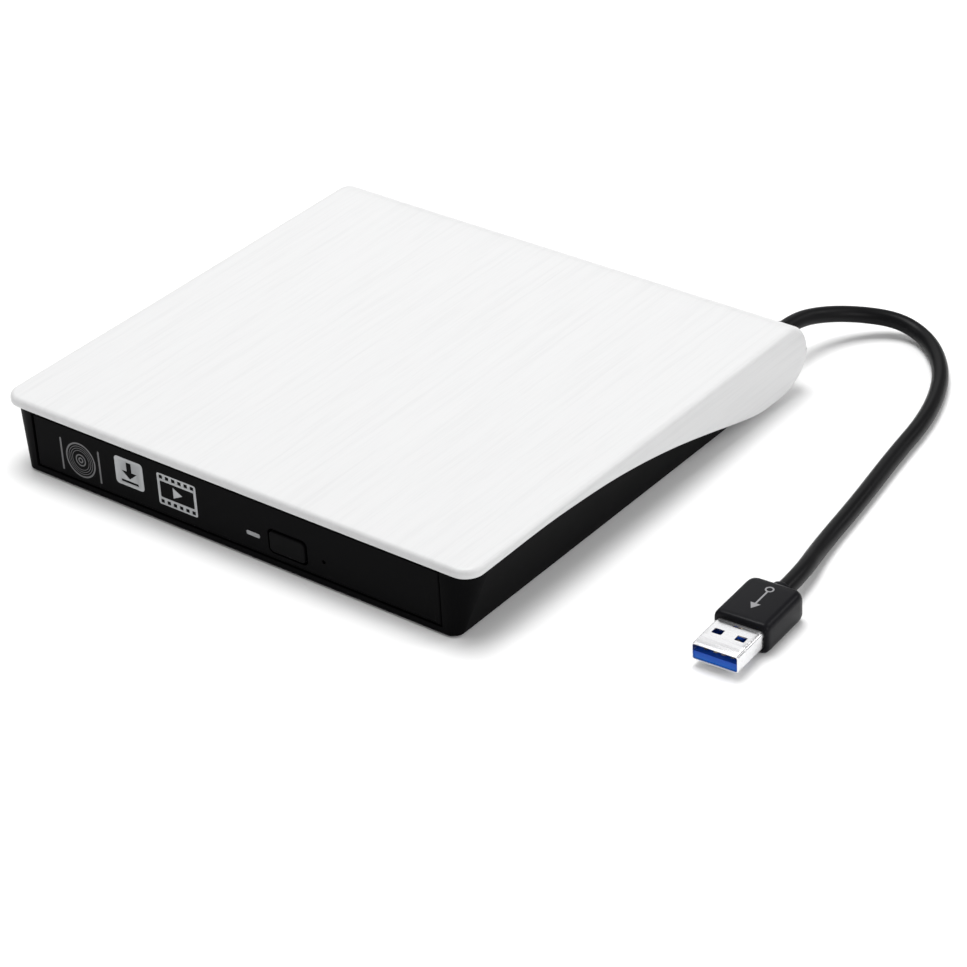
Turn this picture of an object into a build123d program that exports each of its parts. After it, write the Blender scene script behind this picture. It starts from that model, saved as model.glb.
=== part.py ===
from build123d import *
import math
import os

os.makedirs("parts", exist_ok=True)

# External slim optical drive. Millimetres, +Z up, X across the front, -Y is the front.
# The origin is on the standing surface, under the middle of the case.

# ---------------------------------------------------------------- driving dimensions
width = 146.0
depth = 139.0
case_top = 20.0
foot_height = 0.6
foot_radius = 4.0
foot_inset = 0.5
boss_radius = 1.8
front = -depth / 2
rear = depth / 2
side = width / 2

# White cover: a thin rim at the front that swells into a round roll at the rear.
cover_skin = 1.9
cover_rim = 2.5
roll_radius = 9.0
roll_tail = 13.1
roll_bottom = 1.9
roll_wall = 1.8
roll_half_x = 68.4
cover_corner = 5.0
cover_edge = 0.8

# Black base: a tub with side walls that lean outward to the cover's rim.
base_bottom = foot_height
base_top = 17.4
base_half_bottom = 67.8
base_half_top = 72.2
base_front = -69.2
base_rear = 61.0
base_corner_bottom = 2.8
base_corner_top = 8.0
base_wall = 1.6
base_front_wall = 3.6
base_floor = 2.4
base_rear_lip = 5.0
gap = 0.1

# Slim drive: a sheet steel box 12.7 tall that holds the sliding tray.
drive_bottom = 3.0
drive_top = 15.7
drive_front = -62.0
drive_rear = 57.0
pan_half = 63.1
lid_half = 64.0
sheet = 0.8
pan_wall_top = 12.0

# Tray and the disc's place on it.
tray_half = 59.6
tray_front = -65.5
tray_rear = 54.0
tray_wall = 1.4
tray_bottom = 6.4
tray_plate = 10.0
tray_floor = 11.4
tray_rim = 14.2
disc_y = -4.5
disc_recess = 60.7
disc_seat = 12.0

# Front bezel with its button, light and emergency hole.
bezel_half = 63.3
bezel_front = -69.0
bezel_bottom = 2.4
bezel_top = 17.0
button_x = (12.45, 23.35)
button_z = (4.5, 10.2)
light_x = (5.2, 9.3)
light_z = (6.6, 7.7)
bezel_seam = 0.45
button_seam = 0.6
pinhole_x = 28.9
pinhole_z = 7.1
pinhole_radius = 0.55

# Pick-up mechanism. It lies on a diagonal, so that the lens can reach the disc's edge:
# its local x runs from the spindle to the front right corner.
mechanism = Plane(origin=(0, disc_y, 0), x_dir=(1, -1, 0), z_dir=(0, 0, 1))
frame_z = (5.6, 6.4)
frame_x = (-22.0, 65.6)
frame_y = (-17.2, 16.2)
rod_z = 8.0
rod_radius = 1.2
rod_long_y = 13.0
rod_short_y = -9.0
screw_y = -14.2
running = 0.03
lens_start = 23.5
sled_x = (14.2, 30.2)
laser_x = (29.2, 30.6)
laser_y = 4.0
laser_z = 8.4
laser_radius = 1.5
shield_z = (10.9, 11.2)
dampers = [(-25.5, 0.0), (24.0, 19.6), (26.0, -21.6)]
damper_post_radius = 2.2
hub_radius = 7.4
claw_reach = 7.58

# Tray lock: a lever on the tray hooks behind a pin on the drive's pan.
lock_pivot = (24.5, -61.0)
lock_pin = (26.6, -54.3)
lock_release = 15.0

# Captive USB cable.
cable_x = 62.5
cable_z = 11.0
cable_radius = 2.15
gland_start = 64.6
gland_end = 73.0
plug_angle = 3.5
plug_rear = (121.5, -16.8)
plug_z = 4.0


# ---------------------------------------------------------------- helpers
def finish(piece, name):
    """Label a finished piece and write it to its own STEP file."""
    piece.part.label = name
    export_step(piece.part, f"parts/{name}.step")


def block(x_span, y_span, z_span, mode=Mode.ADD):
    """A box between two corners, in the part that is being built."""
    spans = (x_span, y_span, z_span)
    middle = tuple((low + high) / 2 for low, high in spans)
    size = [high - low for low, high in spans]
    with Locations(middle):
        Box(*size, mode=mode)


def post(place, radius, z_span, mode=Mode.ADD):
    """An upright cylinder on a point, in the part that is being built."""
    with Locations((place[0], place[1], (z_span[0] + z_span[1]) / 2)):
        Cylinder(radius, z_span[1] - z_span[0], mode=mode)


def rod(x_span, y, z, radius, mode=Mode.ADD):
    """A cylinder along local x, in the part that is being built."""
    with Locations(((x_span[0] + x_span[1]) / 2, y, z)):
        Cylinder(radius, x_span[1] - x_span[0], rotation=(0, 90, 0), mode=mode)


def tub_section(half_x, z, y_front, y_rear, corner):
    """A rectangle in plan at a height, with its two front corners rounded."""
    with BuildSketch(Plane.XY.offset(z)) as section:
        with Locations((0, (y_front + y_rear) / 2)):
            Rectangle(2 * half_x, y_rear - y_front)
        fillet(section.vertices().group_by(Axis.Y)[0], corner)
    return section.sketch


def leaning_tub(low, high, y_front, y_rear, mode=Mode.ADD):
    """A tub whose sides lean between two sections, each given as (half width, corner radius, z)."""
    sections = [tub_section(half_x, z, y_front, y_rear, corner) for half_x, corner, z in (low, high)]
    loft(sections=sections, mode=mode)


def base_at(z, inside=0.0, tighter=0.0):
    """The base's half width and front corner radius at a height, less a wall, with that height."""
    share = (z - base_bottom) / (base_top - base_bottom)
    half_x = base_half_bottom + share * (base_half_top - base_half_bottom)
    corner = base_corner_bottom + share * (base_corner_top - base_corner_bottom)
    return half_x - inside, corner - tighter, z


# ---------------------------------------------------------------- case
cover_lower_edge = [
    (48.4, 2.2),
    (38.5, 4.4),
    (27.8, 7.4),
    (9.8, 11.9),
    (-9.5, 15.3),
    (-33.7, 17.3),
]
screw_boss = [(-50.0, 59.0), (50.0, 59.0)]
foot_place = [(-56.0, -56.0), (56.0, -56.0), (-56.0, 48.0), (56.0, 48.0)]
drive_screw_place = [(x, y) for x in (-50.0, 50.0) for y in (-40.0, 35.0)]

with BuildPart() as top_cover:
    with BuildSketch(Plane.YZ):
        with BuildLine():
            Line((front, case_top - cover_rim), (front, case_top))
            Line((front, case_top), (rear - roll_radius, case_top))
            CenterArc((rear - roll_radius, case_top - roll_radius), roll_radius, 90, -90)
            EllipticalCenterArc(
                (rear - roll_tail, case_top - roll_radius),
                roll_tail,
                case_top - roll_radius - roll_bottom,
                start_angle=270,
                arc_size=90,
            )
            Spline(
                (rear - roll_tail, roll_bottom),
                *cover_lower_edge,
                (front, case_top - cover_rim),
                tangents=[(-1, 0.05), (-1, 0.02)],
            )
        make_face()
    extrude(amount=side, both=True)
    fillet(edges().filter_by(Axis.Z).group_by(Axis.Y)[0], cover_corner)
    fillet(faces().sort_by(Axis.Z)[-1].edges().group_by(Axis.Y)[0], cover_edge)
    # Room for the base and the drive below the top skin.
    leaning_tub(
        base_at(0, inside=-gap),
        base_at(base_top + gap, inside=-gap),
        base_front - gap,
        base_rear + gap,
        mode=Mode.SUBTRACT,
    )
    block(
        (-roll_half_x, roll_half_x),
        (base_front + base_front_wall, base_rear - base_wall),
        (drive_bottom, case_top - cover_skin),
        mode=Mode.SUBTRACT,
    )
    # The hollow of the rear roll.
    with BuildSketch(Plane.YZ):
        with BuildLine():
            Line((rear - roll_tail, case_top - roll_wall), (rear - roll_radius, case_top - roll_wall))
            CenterArc((rear - roll_radius, case_top - roll_radius), roll_radius - roll_wall, 90, -90)
            EllipticalCenterArc(
                (rear - roll_tail, case_top - roll_radius),
                roll_tail - roll_wall,
                case_top - roll_radius - roll_bottom - roll_wall,
                start_angle=270,
                arc_size=90,
            )
            Line((rear - roll_tail, roll_bottom + roll_wall), (rear - roll_tail, case_top - roll_wall))
        make_face()
    extrude(amount=roll_half_x, both=True, mode=Mode.SUBTRACT)
    # Screw bosses that reach down to the base's floor.
    for place in screw_boss:
        post(place, boss_radius, (base_floor, case_top - cover_skin + 0.2))
        post(place, 0.85, (base_floor, 9.0), mode=Mode.SUBTRACT)
    # Cable hole in the rear wall.
    with BuildSketch(Plane.XZ.offset(-rear - 1)):
        with Locations((cable_x, cable_z)):
            Circle(3.1)
    extrude(amount=5, mode=Mode.SUBTRACT)
finish(top_cover, "top_cover")

with BuildPart() as base_shell:
    leaning_tub(base_at(base_bottom), base_at(base_top), base_front, base_rear)
    leaning_tub(
        base_at(base_floor, inside=base_wall, tighter=2.6),
        base_at(base_top + 1, inside=base_wall, tighter=2.6),
        base_front + base_front_wall,
        base_rear - 1.2,
        mode=Mode.SUBTRACT,
    )
    # Mouth for the tray's bezel, and the cut-down rear wall.
    mouth_half = bezel_half + bezel_seam
    block((-mouth_half, mouth_half), (-75, -60), (bezel_bottom - 0.3, 25), mode=Mode.SUBTRACT)
    block((-75, 75), (base_rear - 1.6, base_rear + 1), (base_rear_lip, 25), mode=Mode.SUBTRACT)
    for place in foot_place:
        post(place, foot_radius + 0.1, (base_bottom - 1, base_bottom + foot_inset), mode=Mode.SUBTRACT)
    for place in screw_boss:
        post(place, 1.75, (base_bottom - 1, base_bottom + 0.7), mode=Mode.SUBTRACT)
        post(place, 0.9, (base_bottom, base_floor + 1), mode=Mode.SUBTRACT)
        post(place, boss_radius + 0.15, (base_floor, base_rear_lip + 1), mode=Mode.SUBTRACT)
    # Pads that the drive rests on, with holes for its screws.
    for place in drive_screw_place:
        post(place, 4.0, (base_floor - 0.2, drive_bottom))
        post(place, 2.0, (base_bottom - 1, base_bottom + 0.8), mode=Mode.SUBTRACT)
        post(place, 1.05, (base_bottom, drive_bottom + 1), mode=Mode.SUBTRACT)
finish(base_shell, "base_shell")

with BuildPart() as rubber_feet:
    for place in foot_place:
        post(place, foot_radius, (0, foot_height + foot_inset))
    fillet(edges().group_by(Axis.Z)[0], 0.4)
finish(rubber_feet, "rubber_feet")

with BuildPart() as case_screws:
    for place in screw_boss:
        post(place, 1.65, (base_bottom + 0.1, base_bottom + 0.7))
        post(place, 0.8, (base_bottom + 0.7, 8.0))
        post(place, 0.55, (base_bottom, base_bottom + 0.4), mode=Mode.SUBTRACT)
finish(case_screws, "case_screws")

with BuildPart() as foam_pads:
    for x in (-40, 40):
        block((x - 6, x + 6), (-45, 40), (drive_top, case_top - cover_skin))
finish(foam_pads, "foam_pads")

with BuildPart() as drive_screws:
    for place in drive_screw_place:
        post(place, 1.9, (base_bottom + 0.2, base_bottom + 0.8))
        post(place, 0.95, (base_bottom + 0.8, drive_bottom + sheet))
        post(place, 0.6, (base_bottom, base_bottom + 0.5), mode=Mode.SUBTRACT)
finish(drive_screws, "drive_screws")

# ---------------------------------------------------------------- bridge board and cable entry
with BuildPart() as bridge_board:
    block((6, 47.8), (58.2, 66.0), (8.4, 9.2))
finish(bridge_board, "bridge_board")

with BuildPart() as bridge_chips:
    block((28, 35), (59, 65.5), (9.2, 10.2))
    block((20, 24), (60, 63.2), (9.2, 10.0))
    block((10, 14.5), (60, 62.2), (9.2, 10.5))
finish(bridge_chips, "bridge_chips")

with BuildPart() as bridge_plug:
    block((12.5, 43.5), (57.8, 62.0), (5.4, 8.4))
    block((13.3, 29.5), (57.0, 61.2), (6.3, 7.5), mode=Mode.SUBTRACT)
    block((31.0, 42.7), (57.0, 61.2), (6.3, 7.5), mode=Mode.SUBTRACT)
finish(bridge_plug, "bridge_plug")

tail_radius = 1.2
with BuildPart() as cable_tail:
    with BuildLine() as tail_path:
        FilletPolyline(
            (cable_x, gland_start, cable_z),
            (cable_x, 62.2, cable_z),
            (45.5, 62.2, cable_z),
            radius=2.2,
        )
    with BuildSketch(Plane(origin=(cable_x, gland_start, cable_z), z_dir=(0, -1, 0))):
        Circle(tail_radius)
    sweep(path=tail_path.line)
finish(cable_tail, "cable_tail")

with BuildPart() as cable_gland:
    with BuildSketch(Plane.YZ.offset(cable_x)):
        with BuildLine():
            Polyline(
                (gland_start, cable_z),
                (gland_start, cable_z + 3.9),
                (gland_start + 0.7, cable_z + 3.9),
                (gland_start + 0.7, cable_z + 3.05),
                (69.8, cable_z + 3.05),
                (69.8, cable_z + 3.5),
                (71.0, cable_z + 3.5),
                (gland_end, cable_z + 2.7),
                (gland_end, cable_z),
                (gland_start, cable_z),
            )
        make_face()
    revolve(axis=Axis((cable_x, 0, cable_z), (0, 1, 0)))
finish(cable_gland, "cable_gland")

# ---------------------------------------------------------------- drive box
socket_window = ((11.5, 44.5), (54.0, 58.0), (4.9, 9.6))

with BuildPart() as drive_chassis:
    block((-pan_half, pan_half), (drive_front, drive_rear), (drive_bottom, pan_wall_top))
    block(
        (-pan_half + sheet, pan_half - sheet),
        (drive_front - 1, drive_rear - sheet),
        (drive_bottom + sheet, pan_wall_top + 1),
        mode=Mode.SUBTRACT,
    )
    block(*socket_window, mode=Mode.SUBTRACT)
    for place in drive_screw_place:
        post(place, 1.0, (drive_bottom - 1, drive_bottom + 2), mode=Mode.SUBTRACT)
    for y in (-55, 52):
        for x in (-pan_half, pan_half):
            with Locations((x, y, 7.0)):
                Cylinder(0.8, 4, rotation=(0, 90, 0), mode=Mode.SUBTRACT)
finish(drive_chassis, "drive_chassis")

with BuildPart() as drive_top_plate:
    block((-lid_half, lid_half), (drive_front, drive_rear), (drive_top - sheet, drive_top))
    for inner, outer in ((-lid_half, -pan_half - 0.1), (pan_half + 0.1, lid_half)):
        block((inner, outer), (drive_front, drive_rear), (9.0, drive_top - sheet))
    block((-62, 62), (drive_rear - sheet, drive_rear), (pan_wall_top + 0.1, drive_top - sheet))
    fillet(edges().filter_by(Axis.Y).group_by(Axis.Z)[-1], 0.5)
    # A shallow round dish pressed into the plate over the hub.
    post((0, disc_y), 22, (drive_top - 0.3, drive_top + 1), mode=Mode.SUBTRACT)
finish(drive_top_plate, "drive_top_plate")

with BuildPart() as lock_post:
    post(lock_pin, 1.6, (drive_bottom + sheet, drive_bottom + sheet + 0.3))
    post(lock_pin, 0.8, (drive_bottom + sheet, 5.0))
finish(lock_post, "lock_pin")

with BuildPart() as drive_board:
    block((-26, 58), (32, 56), (4.4, 5.2))
    for x in (-22, 54):
        for y in (36, 53):
            post((x, y), 1.8, (drive_bottom + sheet, 4.4))
    block((48.6, 51.4), (33.6, 36.4), (3.5, 5.5), mode=Mode.SUBTRACT)
finish(drive_board, "drive_board")

with BuildPart() as drive_chips:
    block((8, 22), (36, 50), (5.2, 6.1))
    block((28, 38), (36, 44), (5.2, 6.0))
    block((-20, -12), (40, 45), (5.2, 5.9))
finish(drive_chips, "drive_chips")

with BuildPart() as drive_socket:
    block((12, 44), (54.4, 57.6), (5.2, 9.4))
    block((12.8, 29.8), (55.4, 58.0), (6.0, 7.8), mode=Mode.SUBTRACT)
    block((30.8, 43.2), (55.4, 58.0), (6.0, 7.8), mode=Mode.SUBTRACT)
finish(drive_socket, "drive_socket")

for name, sign in (("left", -1), ("right", 1)):
    with BuildPart() as guide_rail:
        block(sorted((sign * 60.3, sign * 62.3)), (-58, 55.8), (5.6, 11.6))
        block(sorted((sign * 60.0, sign * 61.6)), (-59, 57), (6.4, 10.8), mode=Mode.SUBTRACT)
    finish(guide_rail, f"guide_rail_{name}")

    with BuildPart() as slide_runner:
        block(sorted((sign * 60.0, sign * 61.45)), (-60, 50), (6.5, 10.7))
        block(sorted((sign * 59.0, sign * 60.95)), (-61, 51), (7.0, 10.2), mode=Mode.SUBTRACT)
    finish(slide_runner, f"slide_runner_{name}")

with BuildPart() as ejector:
    block((-20, -8), (46.2, 49.8), (6.6, 9.4))
    block((-16.5, -11.5), (47.8, 50.5), (7.2, 8.8), mode=Mode.SUBTRACT)
finish(ejector, "ejector_slider")

with BuildPart() as ejector_spring:
    with Locations((-14, (47.8 + 56.2) / 2, 8.0)):
        Cylinder(0.75, 56.2 - 47.8, rotation=(90, 0, 0))
finish(ejector_spring, "ejector_spring")

# ---------------------------------------------------------------- tray
opening_x = (frame_x[0] - 0.6, frame_x[1] + 0.6)
opening_y = (frame_y[0] - 0.6, frame_y[1] + 0.6)

with BuildPart() as disc_tray:
    block((-tray_half, tray_half), (tray_front, tray_rear), (tray_bottom, tray_rim))
    block(
        (-tray_half + tray_wall, tray_half - tray_wall),
        (tray_front + tray_wall, tray_rear - tray_wall),
        (tray_bottom - 1, tray_plate),
        mode=Mode.SUBTRACT,
    )
    post((0, disc_y), disc_recess, (tray_floor, 20), mode=Mode.SUBTRACT)
    post((0, disc_y), 41, (tray_floor - 0.5, 20), mode=Mode.SUBTRACT)
    # Ribs that ride in the runners.
    for sign in (-1, 1):
        block(sorted((sign * 59.0, sign * 60.85)), (-62, 50), (7.1, 10.1))
    # Hooks that hold the bezel, with the bezel's back between them.
    for x in (-50, -22, 42):
        block((x - 3, x + 3), (tray_front - 1.3, tray_front + 1.4), (8, 12))
    # Window behind the button and the light, and the emergency hole.
    window_y = (tray_front - 1, tray_front + tray_wall + 0.1)
    block((4, 25.5), window_y, (tray_bottom - 1, tray_plate - 0.1), mode=Mode.SUBTRACT)
    block((27.9, 30.2), window_y, (tray_bottom - 1, 8.4), mode=Mode.SUBTRACT)
    # Bosses under the plate: two for the small board, one for the lock lever.
    post((0, -62.6), 1.0, (9.6, tray_plate + 0.2))
    post((20.5, -58.6), 1.0, (9.6, tray_plate + 0.2))
    post(lock_pivot, 1.4, (5.0, tray_plate + 0.2))
    post(lock_pivot, 0.8, (4.0, 5.0))
    # Rib that the ejector pushes on.
    block((-22, -6), (44.6, 46.0), (tray_bottom, tray_plate))
    block((-22, -6), (tray_rear - 2, tray_rear + 1), (tray_bottom - 1, tray_plate), mode=Mode.SUBTRACT)
    # Window for the pick-up mechanism, and the posts that it hangs from.
    with Locations(mechanism):
        block(opening_x, opening_y, (0, 20), mode=Mode.SUBTRACT)
        for place in dampers:
            post(place, damper_post_radius, (7.5, tray_plate + 0.3))
            post(place, 1.0, (5, 9.5), mode=Mode.SUBTRACT)
finish(disc_tray, "disc_tray")

with BuildPart() as bezel:
    block((-bezel_half, bezel_half), (bezel_front, tray_front), (bezel_bottom, bezel_top))
    fillet(edges().group_by(Axis.Y)[0], 0.4)
    # The back is hollow, apart from a rim.
    block((-61.3, 61.3), (bezel_front + 2.2, tray_front + 1), (4.0, 15.6), mode=Mode.SUBTRACT)
    block((11.0, 25.1), (bezel_front + 1.7, tray_front), (3.2, 11.5), mode=Mode.SUBTRACT)
    with BuildSketch(Plane.XZ.offset(-bezel_front + 1)):
        with Locations((sum(button_x) / 2, sum(button_z) / 2)):
            RectangleRounded(
                button_x[1] - button_x[0] + 2 * button_seam,
                button_z[1] - button_z[0] + 2 * button_seam,
                1.5,
            )
        with Locations((sum(light_x) / 2, sum(light_z) / 2)):
            RectangleRounded(light_x[1] - light_x[0] + 0.1, light_z[1] - light_z[0] + 0.1, 0.45)
        with Locations((pinhole_x, pinhole_z)):
            Circle(pinhole_radius)
    extrude(amount=-6, mode=Mode.SUBTRACT)
finish(bezel, "bezel")

with BuildPart() as eject_button:
    with BuildSketch(Plane.XZ.offset(-bezel_front + 0.3)):
        with Locations((sum(button_x) / 2, sum(button_z) / 2)):
            RectangleRounded(button_x[1] - button_x[0], button_z[1] - button_z[0], 1.2)
    extrude(amount=-2.4)
    fillet(edges().group_by(Axis.Y)[0], 0.3)
    block((11.4, 24.7), (-67.2, -66.5), (3.5, 11.2))
    with Locations(((button_x[0] + button_x[1]) / 2, -66.1, 7.2)):
        Cylinder(1.5, 0.9, rotation=(90, 0, 0))
finish(eject_button, "eject_button")

with BuildPart() as light_pipe:
    with BuildSketch(Plane.XZ.offset(-bezel_front + 0.05)):
        with Locations((sum(light_x) / 2, sum(light_z) / 2)):
            RectangleRounded(light_x[1] - light_x[0], light_z[1] - light_z[0], 0.4)
    extrude(amount=-4.6)
    block((6.0, 8.4), (-64.5, -62.6), (6.4, 7.9))
finish(light_pipe, "light_pipe")

with BuildPart() as tray_board:
    block((-2, 22), (-64.0, -57.4), (8.8, 9.6))
finish(tray_board, "tray_board")

with BuildPart() as status_led:
    block((6.2, 8.2), (-62.4, -60.6), (7.4, 8.8))
finish(status_led, "status_led")

with BuildPart() as eject_switch:
    block((15.0, 21.0), (-63.8, -60.4), (5.8, 8.8))
    with Locations((18.0, -64.2, 7.2)):
        Cylinder(0.9, 1.0, rotation=(90, 0, 0))
finish(eject_switch, "eject_switch")

lever_plane = Plane(origin=(lock_pivot[0], lock_pivot[1], 0)).rotated((0, 0, lock_release))
with BuildPart(lever_plane) as lock_lever:
    block((-0.9, 5.3), (-1.0, 0.9), (4.2, 4.9))
    block((-0.9, 0.9), (-1.0, 9.0), (4.2, 4.9))
    block((-0.9, 3.0), (7.8, 9.0), (4.2, 4.9))
    block((3.8, 5.3), (-1.0, -0.3), (4.2, 8.2))
    post((0, 0), 1.5, (4.2, 4.9))
    post((0, 0), 0.84, (4.0, 5.1), mode=Mode.SUBTRACT)
finish(lock_lever, "lock_lever")

with BuildPart() as lock_solenoid:
    block((8, 19), (-57.0, -51.6), (5.4, 9.8))
    block((9.2, 17.8), (-58, -51), (6.2, 9.0), mode=Mode.SUBTRACT)
    rod((8, 22.4), -54.3, 7.6, 0.8)
    rod((9.2, 17.8), -54.3, 7.6, 1.3)
finish(lock_solenoid, "lock_solenoid")

with BuildPart() as flex_cable:
    block((-48, -34), (-6, 30), (6.1, 6.3))
    block((-48, -34), (-6, 46), (4.1, 4.3))
    block((-48, -34), (-6.2, -6), (4.1, 6.3))
finish(flex_cable, "flex_cable")

# ---------------------------------------------------------------- pick-up mechanism
with BuildPart(mechanism) as mechanism_frame:
    block(frame_x, frame_y, frame_z)
    for x, y in dampers:
        post((x, y), 4.0, frame_z)
    block((-26, -20), (-4, 4), frame_z)
    block((20, 28), (14, 19.6), frame_z)
    block((22, 30), (-21.6, -16), frame_z)
    post((0, 0), 12.0, (5, 7), mode=Mode.SUBTRACT)
    block((13.9, 64.2), (-11.2, 14.8), (5, 7), mode=Mode.SUBTRACT)
    block((50.9, 64.2), (-18, -11), (5, 7), mode=Mode.SUBTRACT)
    for x, y in dampers:
        post((x, y), 2.0, (5, 7), mode=Mode.SUBTRACT)
    # Folded ends that carry the rods and the shield plate.
    block((64.4, 65.6), (-11.0, 16.2), (5.6, shield_z[0]))
    block((-21.2, -20.0), (-8, 8), (5.6, shield_z[0]))
    block((9.0, 11.5), (11.2, 14.8), (5.6, 9.8))
    block((11.4, 13.6), (-10.8, -7.2), (5.6, 9.8))
    block((8.4, 10.0), (-15.8, -12.6), (5.6, 9.6))
    for y in (rod_long_y, rod_short_y):
        rod((9.5, 65.2), y, rod_z, rod_radius, mode=Mode.SUBTRACT)
    rod((8.0, 10.5), screw_y, rod_z, 0.63, mode=Mode.SUBTRACT)
finish(mechanism_frame, "mechanism_frame")

with BuildPart(mechanism) as frame_dampers:
    for x, y in dampers:
        post((x, y), 3.0, (4.9, 5.6))
        post((x, y), 2.0, (5.6, 6.4))
        post((x, y), 3.0, (6.4, 7.4))
        post((x, y), 1.05, (4, 8), mode=Mode.SUBTRACT)
finish(frame_dampers, "frame_dampers")

with BuildPart(mechanism) as damper_screws:
    for x, y in dampers:
        post((x, y), 2.2, (4.3, 4.9))
        post((x, y), 0.98, (4.9, 9.4))
        post((x, y), 0.6, (4.2, 4.6), mode=Mode.SUBTRACT)
finish(damper_screws, "damper_screws")

for name, y, x_start in (("long", rod_long_y, 9.5), ("short", rod_short_y, 11.9)):
    with BuildPart(mechanism) as guide_rod:
        rod((x_start, 65.2), y, rod_z, rod_radius)
    finish(guide_rod, f"guide_rod_{name}")

with BuildPart(mechanism) as lead_screw:
    rod((10.3, 50.9), screw_y, rod_z, 1.2)
    rod((8.5, 52.4), screw_y, rod_z, 0.6)
finish(lead_screw, "lead_screw")

with BuildPart(mechanism) as sled_motor:
    rod((51.6, 63.8), screw_y, rod_z, 2.7)
    rod((50.0, 53.0), screw_y, rod_z, 0.64, mode=Mode.SUBTRACT)
    block((51.0, 51.6), (-17.0, -11.4), (5.6, 10.6))
    block((47.5, 51.0), (-17.2, -16.1), (6.4, 7.2))
    rod((50.0, 53.0), screw_y, rod_z, 0.64, mode=Mode.SUBTRACT)
finish(sled_motor, "sled_motor")

with BuildPart(mechanism) as shield_plate:
    block((-21.4, 65.4), (-16.9, 15.9), shield_z)
    post((0, 0), 15.0, (10, 12), mode=Mode.SUBTRACT)
    block((14.0, 63.4), (-5.8, 5.8), (10, 12), mode=Mode.SUBTRACT)
    chamfer(edges().filter_by(Axis.Z).group_by(SortBy.DISTANCE)[-1], 1.0)
finish(shield_plate, "shield_plate")

with BuildPart(mechanism) as pickup_sled:
    block(sled_x, (-10.8, 14.4), (6.7, 10.2))
    block((14.5, 16.5), (-16.0, -10.8), (6.7, 9.6))
    block((18.2, 28.8), (-5.1, 5.1), (8.3, 11), mode=Mode.SUBTRACT)
    block((18.0, 30.3), (-10.9, -7.3), (6.6, 10.3), mode=Mode.SUBTRACT)
    rod((13, 31), rod_long_y, rod_z, rod_radius + running, mode=Mode.SUBTRACT)
    rod((13, 31), rod_short_y, rod_z, rod_radius + running, mode=Mode.SUBTRACT)
    rod((13, 31), screw_y, rod_z, 1.2 + running, mode=Mode.SUBTRACT)
    rod((laser_x[0], sled_x[1] + 1), laser_y, laser_z, laser_radius, mode=Mode.SUBTRACT)
finish(pickup_sled, "pickup_sled")

with BuildPart(mechanism) as lens_holder:
    block((19.0, 28.0), (-4.5, 4.5), (8.9, 10.3))
    post((lens_start, 0), 3.1, (10.3, 10.6))
    post((lens_start, 0), 2.4, (9.6, 11), mode=Mode.SUBTRACT)
finish(lens_holder, "lens_holder")

with BuildPart(mechanism) as objective_lens:
    with Locations((lens_start, 0, 10.2)):
        Cylinder(2.35, 1.1)
    fillet(edges().group_by(Axis.Z)[-1], 0.5)
finish(objective_lens, "objective_lens")

with BuildPart(mechanism) as laser_unit:
    rod(laser_x, laser_y, laser_z, laser_radius)
finish(laser_unit, "laser_unit")

with BuildPart(mechanism) as spindle_base:
    post((0, 0), 15.0, (4.8, 5.6))
    block((-14, 0), (-15, 15), (4.8, 5.6))
finish(spindle_base, "spindle_base")

with BuildPart(mechanism) as spindle_motor:
    post((0, 0), 11.0, (5.6, 8.3))
    post((0, 0), 1.54, (5.9, 9), mode=Mode.SUBTRACT)
finish(spindle_motor, "spindle_motor")

with BuildPart(mechanism) as turntable:
    post((0, 0), 13.0, (8.6, 10.6))
    post((0, 0), 12.6, (10.6, 11.6))
    post((0, 0), hub_radius, (11.6, 13.2))
    with Locations((0, 0, 13.6)):
        Cone(hub_radius, 6.2, 0.8)
    post((0, 0), 1.5, (8, 15), mode=Mode.SUBTRACT)
    with PolarLocations(0, 3):
        with Locations((6.3, 0, 13.3)):
            Box(4.0, 2.8, 1.6, mode=Mode.SUBTRACT)
finish(turntable, "turntable")

with BuildPart(mechanism) as turntable_grip:
    post((0, 0), 12.4, (11.6, disc_seat))
    post((0, 0), 9.0, (11, 13), mode=Mode.SUBTRACT)
finish(turntable_grip, "turntable_grip")

with BuildPart(mechanism) as spindle_shaft:
    post((0, 0), 1.5, (6.0, 13.9))
finish(spindle_shaft, "spindle_shaft")

for number in range(3):
    claw_plane = mechanism.rotated((0, 0, 120 * number))
    with BuildPart(claw_plane) as chuck_claw:
        block((5.2, claw_reach), (-1.2, 1.2), (13.3, 13.9))
        block((5.2, 7.0), (-1.2, 1.2), (12.6, 13.9))
    finish(chuck_claw, f"chuck_claw_{number + 1}")

# ---------------------------------------------------------------- captive USB cable
plug_direction = (math.sin(math.radians(plug_angle)), -math.cos(math.radians(plug_angle)), 0)
plug_lead = 9.0
plug_lead_point = (
    plug_rear[0] - plug_lead * plug_direction[0],
    plug_rear[1] - plug_lead * plug_direction[1],
    plug_z,
)
cable_route = [
    (cable_x, gland_end, cable_z),
    (cable_x, 79.5, cable_z),
    (64.8, 89.4, 8.7),
    (70.2, 98.0, 6.2),
    (78.3, 103.4, 4.4),
    (86.2, 102.9, 2.6),
    (94.3, 96.7, 2.15),
    (101.9, 86.1, 2.15),
    (107.9, 69.4, 2.15),
    (110.6, 48.9, 2.15),
    (114.3, 27.4, 2.15),
    (117.4, 5.0, 2.3),
    plug_lead_point,
    (plug_rear[0], plug_rear[1], plug_z),
]


def route_radii(route):
    """The largest arc at each corner: 0.45 of the shorter run over the tangent of half the turn."""
    radii = []
    for before, corner, after in zip(route, route[1:], route[2:]):
        run_in = Vector(corner) - Vector(before)
        run_out = Vector(after) - Vector(corner)
        half_turn = math.radians(run_in.get_angle(run_out)) / 2
        radii.append(0.45 * min(run_in.length, run_out.length) / math.tan(half_turn))
    return radii


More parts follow.
